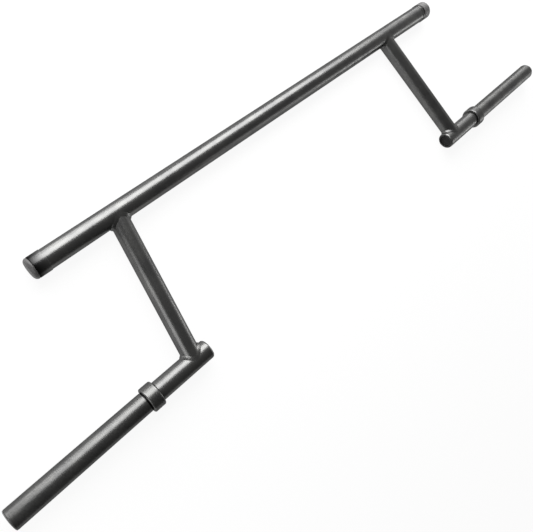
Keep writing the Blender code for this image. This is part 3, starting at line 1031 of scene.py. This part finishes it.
@dataclass
class Stub:
    """The short tube that carries a sleeve, and the plug in its inboard end."""

    end: End
    wall: float = 4.0 * MM
    lip_wall: float = 5.8 * MM  # the inboard end is rolled in to a thicker, rounded lip
    lip_length: float = 22 * MM
    lip_mouth: float = 0.4 * MM
    rim: float = 4.9 * MM
    bare_width: float = 1.6 * MM  # a strip beside the collar, painted dark as shade in the seam
    bare_step: float = 0.1 * MM
    outboard_edge: float = 1.0 * MM
    plug_gap: float = 0.15 * MM
    plug_recess: float = 4.0 * MM
    plug_depth: float = 12 * MM
    plug_edge: float = 0.6 * MM
    dish_radius: float = 14 * MM
    dish_slope: float = 1.2 * MM  # how far the dish's wall leans in
    dish_depth: float = 1.2 * MM
    dish_rounds: tuple[float, float] = (0.8 * MM, 0.5 * MM)  # at its floor and at its brim

    def build(self, finishes: Finishes) -> None:
        """Makes the tube and its plug."""
        stub = Turning.of(f"{self.end.label}_stub_tube")
        inner = stub.radius - self.wall
        lip = stub.radius - self.lip_wall
        shaded_seam_start = Turning.of(f"{self.end.label}_sleeve_collar").inboard - self.bare_width
        seam_step_r = stub.radius - self.bare_step
        corners = [
            (stub.inboard, lip, self.lip_mouth),
            (stub.inboard, stub.radius, self.rim),
            (shaded_seam_start, stub.radius, 0),
            (shaded_seam_start + self.bare_step, seam_step_r, 0),
            (stub.outboard, seam_step_r, self.outboard_edge),
            (stub.outboard, inner, 0),
            (stub.inboard + self.lip_length, inner, 0),
            (stub.inboard + self.lip_length, lip, 0),
        ]
        # Painted shade in the seam beside the collar, on the strip and on to the tube's end under the collar.
        painted_seam_shade = (shaded_seam_start + self.bare_step / 2, stub.outboard)
        surface = turned(corners, self.end.value, stub.axis, painted_seam_shade)
        make_end_piece(
            self.end, "stub_tube_skin", surface, finishes.frame, "stub_tube"
        )
        face = stub.inboard + self.plug_recess
        plug_r = lip - self.plug_gap
        corners = [
            (face + self.dish_depth, 0, 0),
            (face + self.dish_depth, self.dish_radius - self.dish_slope, self.dish_rounds[0]),
            (face, self.dish_radius, self.dish_rounds[1]),
            (face, plug_r, self.plug_edge),
            (face + self.plug_depth, plug_r, 0),
            (face + self.plug_depth, 0, 0),
        ]
        surface = turned(corners, self.end.value, stub.axis)
        make_end_piece(
            self.end,
            "stub_plug_moulding",
            surface,
            finishes.stub_plug,
            "stub_plug",
        )


# Sleeves


@dataclass
class PlateSleeve:
    """What turns at one end: the sleeve, its collar and its end cap."""

    end: End
    wall: float = 6.0 * MM
    outer_edge: float = 0.5 * MM
    collar_gap: float = 0.15 * MM
    collar_inboard_round: float = 4.0 * MM
    collar_inboard_mouth: float = 0.9 * MM
    collar_round: float = 3.4 * MM
    collar_mouth: float = 0.36 * MM
    relief_width: float = 3.4 * MM  # a groove turned in the sleeve beside the collar, and painted dark as shade
    relief_depth: float = 1.1 * MM
    relief_start: float = 1 * MM  # how far in under the collar the groove and its painted shade begin
    cap_edge: float = 0.7 * MM
    cap_back_edge: float = 0.3 * MM
    cap_seam: float = 0.6 * MM
    cap_spigot: float = 10 * MM
    cap_spigot_gap: float = 0.3 * MM
    cap_spigot_edge: float = 0.4 * MM

    def build(self, finishes: Finishes) -> None:
        """Makes the sleeve, the collar and the cap."""
        sleeve = Turning.of(f"{self.end.label}_sleeve")
        collar = Turning.of(f"{self.end.label}_sleeve_collar")
        inner = sleeve.radius - self.wall
        relief_r = sleeve.radius - self.relief_depth
        relief = (collar.outboard - self.relief_start, collar.outboard + self.relief_width)
        corners = [
            (sleeve.inboard, inner, 0),
            (sleeve.inboard, sleeve.radius, self.outer_edge),
            (relief[0], sleeve.radius, 0),
            (relief[0], relief_r, 0),
            (relief[1], relief_r, 0),
            (relief[1], sleeve.radius, 0),
            (sleeve.outboard, sleeve.radius, self.outer_edge),
            (sleeve.outboard, inner, 0),
        ]
        # The groove beside the collar, and the sleeve just under the collar's edge, get painted shade.
        self.add(
            "sleeve_tube", corners, sleeve.axis, finishes.sleeve, "sleeve", "sleeve_finish", relief
        )
        bore = sleeve.radius + self.collar_gap
        corners = [
            (collar.inboard, bore, self.collar_inboard_mouth),
            (collar.inboard, collar.flat_radius, self.collar_inboard_round),
            (collar.outboard, collar.flat_radius, self.collar_round),
            (collar.outboard, bore, self.collar_mouth),
        ]
        self.add(
            "plate_stop_collar", corners, collar.axis, finishes.sleeve, "sleeve_collar", "sleeve_finish"
        )
        cap = Turning.of(f"{self.end.label}_sleeve_end_cap")
        seat = sleeve.outboard + self.cap_seam
        spigot_r = inner - self.cap_spigot_gap
        corners = [
            (seat - self.cap_spigot, 0, 0),
            (seat - self.cap_spigot, spigot_r, self.cap_spigot_edge),
            (seat, spigot_r, 0),
            (seat, cap.radius, self.cap_back_edge),
            (cap.outboard, cap.radius, self.cap_edge),
            (cap.outboard, 0, 0),
        ]
        self.add("end_cap_moulding", corners, cap.axis, finishes.cap, "sleeve_end_cap", "cap_finish")

    def add(
        self,
        name: str,
        corners: Sequence[tuple[float, float, float]],
        axis: tuple[float, float],
        finish: bpy.types.Material,
        node: str,
        slot: str,
        gap: tuple[float, float] | None = None,
    ) -> None:
        """Makes one turned piece of this end's turning body."""
        surface = turned(corners, self.end.value, axis, gap)
        make_end_piece(self.end, name, surface, finish, node, sleeve_body(self.end))


# What the sleeves turn on


@dataclass
class Bearings:
    """The spindle and what is on it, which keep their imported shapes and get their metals."""

    end: End
    nodes: dict[str, bpy.types.Object]

    def dress(self, finishes: Finishes) -> None:
        """Gives each node its metal."""
        metals = {
            "spindle": finishes.steel,
            "retaining_washer": finishes.steel,
            "snap_ring": finishes.steel,
            "thrust_washer": finishes.bronze,
            "inner_bushing": finishes.bronze,
            "outer_bushing": finishes.bronze,
        }
        for part, metal in metals.items():
            node = self.nodes[f"{self.end.label}_{part}"]
            node.data.materials.clear()
            node.data.materials.append(metal)
            LOG.info("%s: dressed in %s", node.name, metal.name)


# The studio


@dataclass(frozen=True)
class SoftBox:
    """A flat diffuser with a lamp behind it, whose light falls off towards its edges."""

    name: str
    centre: tuple[float, float, float]
    aim: tuple[float, float, float]
    width: float
    height: float
    strength: float
    lean: float = 0.0  # turn about the line to the aim
    tone: str = "#ffffff"

    def build(self) -> None:
        """Hangs the box, facing its aim, with its width as level as it can be."""
        lamp = bpy.data.lights.new(self.name, "AREA")
        lamp.shape = "RECTANGLE"
        lamp.size = self.width
        lamp.size_y = self.height
        # A lamp of this power has the same brightness whatever its size.
        lamp.energy = self.strength * self.width * self.height * pi
        lamp.color = linear(self.tone)[:3]
        box = bpy.data.objects.new(self.name, lamp)
        bpy.context.scene.collection.objects.link(box)
        box.location = self.centre
        towards = Vector(self.aim) - Vector(self.centre)
        box.rotation_mode = "QUATERNION"
        lean = Quaternion((0, 0, 1), self.lean)
        box.rotation_quaternion = towards.to_track_quat("-Z", "Y") @ lean
        box.visible_camera = False


@dataclass(frozen=True)
class Studio:
    """A pale floor, soft boxes on the bar's side, and a dim world for the tubes to mirror."""

    floor_size: float = 60.0
    floor_colour: str = "#f4f4f4"
    floor_share: float = 0.92  # how much of the floor is its own pale tone, and not what falls on it
    ambient: str = "#525251"
    boxes: tuple[SoftBox, ...] = (
        SoftBox("long_key_box", (0.45, 1.55, 1.15), (0.45, 0.19, 0.03), 3.1, 1.6, 8.0, radians(9)),
        SoftBox("key_tail_box", (3.1, 1.5, 0.66), (0.7, 0.0, 0.03), 2.2, 1.3, 2.4),
        SoftBox("low_back_strip", (-0.8, 1.35, 0.17), (-0.75, -0.1, 0.0), 1.4, 0.36, 6.0),
        SoftBox("left_side_box", (-1.8, -0.12, 0.6), (-0.55, -0.1, 0.0), 0.75, 0.8, 3.5),
        SoftBox("low_right_box", (1.5, -1.5, 0.46), (0.6, 0.0, 0.0), 1.3, 0.9, 1.3),
        SoftBox("right_side_box", (3.05, -1.5, 0.3), (0.8, -0.1, 0.0), 1.9, 0.6, 6.0),
        SoftBox("low_right_strip", (3.1, 1.45, 0.2), (0.8, -0.1, 0.0), 1.5, 0.4, 5.0),
        SoftBox("right_end_box", (2.9, 0.0, 1.0), (0.8, 0.0, 0.0), 3.2, 1.8, 0.42),
    )

    def build(self) -> None:
        """Makes the floor, the world and the boxes."""
        self.build_floor()
        self.build_world()
        for box in self.boxes:
            box.build()

    def build_floor(self) -> None:
        """A square whose pale tone shows to the eye and in gloss, and which keeps a soft shadow."""
        half = self.floor_size / 2
        grid = np.array([(-half, -half, 0), (half, -half, 0), (half, half, 0), (-half, half, 0)])
        mesh = bpy.data.meshes.new("floor")
        mesh.from_pydata(grid.tolist(), [], [[0, 1, 2, 3]])
        made = bpy.data.materials.new("pale_seamless_paper")
        made.use_nodes = True
        tree = made.node_tree
        tree.nodes.clear()
        shade = add_node(tree, "ShaderNodeBsdfDiffuse", {"Color": linear(self.floor_colour)})
        glow = add_node(tree, "ShaderNodeEmission", {"Color": (1, 1, 1, 1), "Strength": 1.0})
        share = add_node(
            tree,
            "ShaderNodeMath",
            {0: self.seen(tree), 1: self.floor_share},
            operation="MULTIPLY",
        )
        mixed = add_node(
            tree,
            "ShaderNodeMixShader",
            {0: share.outputs["Value"], 1: shade.outputs["BSDF"], 2: glow.outputs["Emission"]},
        )
        add_node(tree, "ShaderNodeOutputMaterial", {"Surface": mixed.outputs["Shader"]})
        mesh.materials.append(made)
        floor = bpy.data.objects.new("floor", mesh)
        bpy.context.scene.collection.objects.link(floor)

    @staticmethod
    def seen(tree: bpy.types.NodeTree) -> bpy.types.NodeSocket:
        """1 for a ray from the eye, a mirror or glass, and 0 for one that only carries light."""
        path = add_node(tree, "ShaderNodeLightPath")
        gloss = add_node(
            tree,
            "ShaderNodeMath",
            {0: path.outputs["Is Camera Ray"], 1: path.outputs["Is Glossy Ray"]},
            operation="MAXIMUM",
        )
        glass = add_node(
            tree,
            "ShaderNodeMath",
            {0: gloss.outputs["Value"], 1: path.outputs["Is Transmission Ray"]},
            operation="MAXIMUM",
        )
        return glass.outputs["Value"]

    def build_world(self) -> None:
        """A dim, even room."""
        world = bpy.data.worlds.new("dim_room")
        bpy.context.scene.world = world
        world.use_nodes = True
        background = world.node_tree.nodes["Background"]
        background.inputs["Color"].default_value = linear(self.ambient)
        background.inputs["Strength"].default_value = 1.0


@dataclass(frozen=True)
class Viewpoint:
    """A camera that stands over the bar's left end and is turned nearly on its side."""

    place: tuple[float, float, float] = (-0.8707, 0.1702, 1.2563)
    aim: tuple[float, float, float] = (-0.2474, -0.1319, 0.0)
    roll: float = radians(79.09)
    lens_mm: float = 36.94
    sensor_mm: float = 36.0

    def build(self) -> None:
        """Places the camera and makes it the scene's."""
        data = bpy.data.cameras.new("viewpoint")
        data.sensor_width = self.sensor_mm
        data.lens = self.lens_mm
        camera = bpy.data.objects.new("viewpoint", data)
        bpy.context.scene.collection.objects.link(camera)
        towards = Vector(self.aim) - Vector(self.place)
        level = towards.to_track_quat("-Z", "Y").to_matrix()
        turn = level @ Matrix.Rotation(self.roll, 3, "Z")
        camera.matrix_world = Matrix.Translation(self.place) @ turn.to_4x4()
        bpy.context.scene.camera = camera


def clear_scene() -> None:
    """Removes what a new Blender scene starts with."""
    for obj in list(bpy.data.objects):
        bpy.data.objects.remove(obj)


def main() -> None:
    """Builds the studio and every sub-assembly."""
    logging.basicConfig(level=logging.INFO, format="%(name)s: %(message)s")
    clear_scene()
    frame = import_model()
    bpy.context.scene.view_settings.view_transform = "Standard"
    Viewpoint().build()
    Studio().build()
    finishes = Finishes()
    MainBar().build(finishes)
    BarEnd(End.LEFT).build(finishes)
    # The right end has the deeper kind of plug, whose flatter head reaches back over the tube, and a wider
    # band of painted shade on the ring beside it.
    deep = {"skirt": 18.5 * MM, "bare_lip": 3.4 * MM, "dome_height": 5.0 * MM, "dome_width": 6.0 * MM}
    BarEnd(End.RIGHT, **deep).build(finishes)
    for end in End:
        Camber(end, frame["nodes"][f"{end.label}_post"]).build(finishes)
        Stub(end).build(finishes)
        PlateSleeve(end).build(finishes)
        Bearings(end, frame["nodes"]).dress(finishes)


if __name__ == "__main__":
    main()
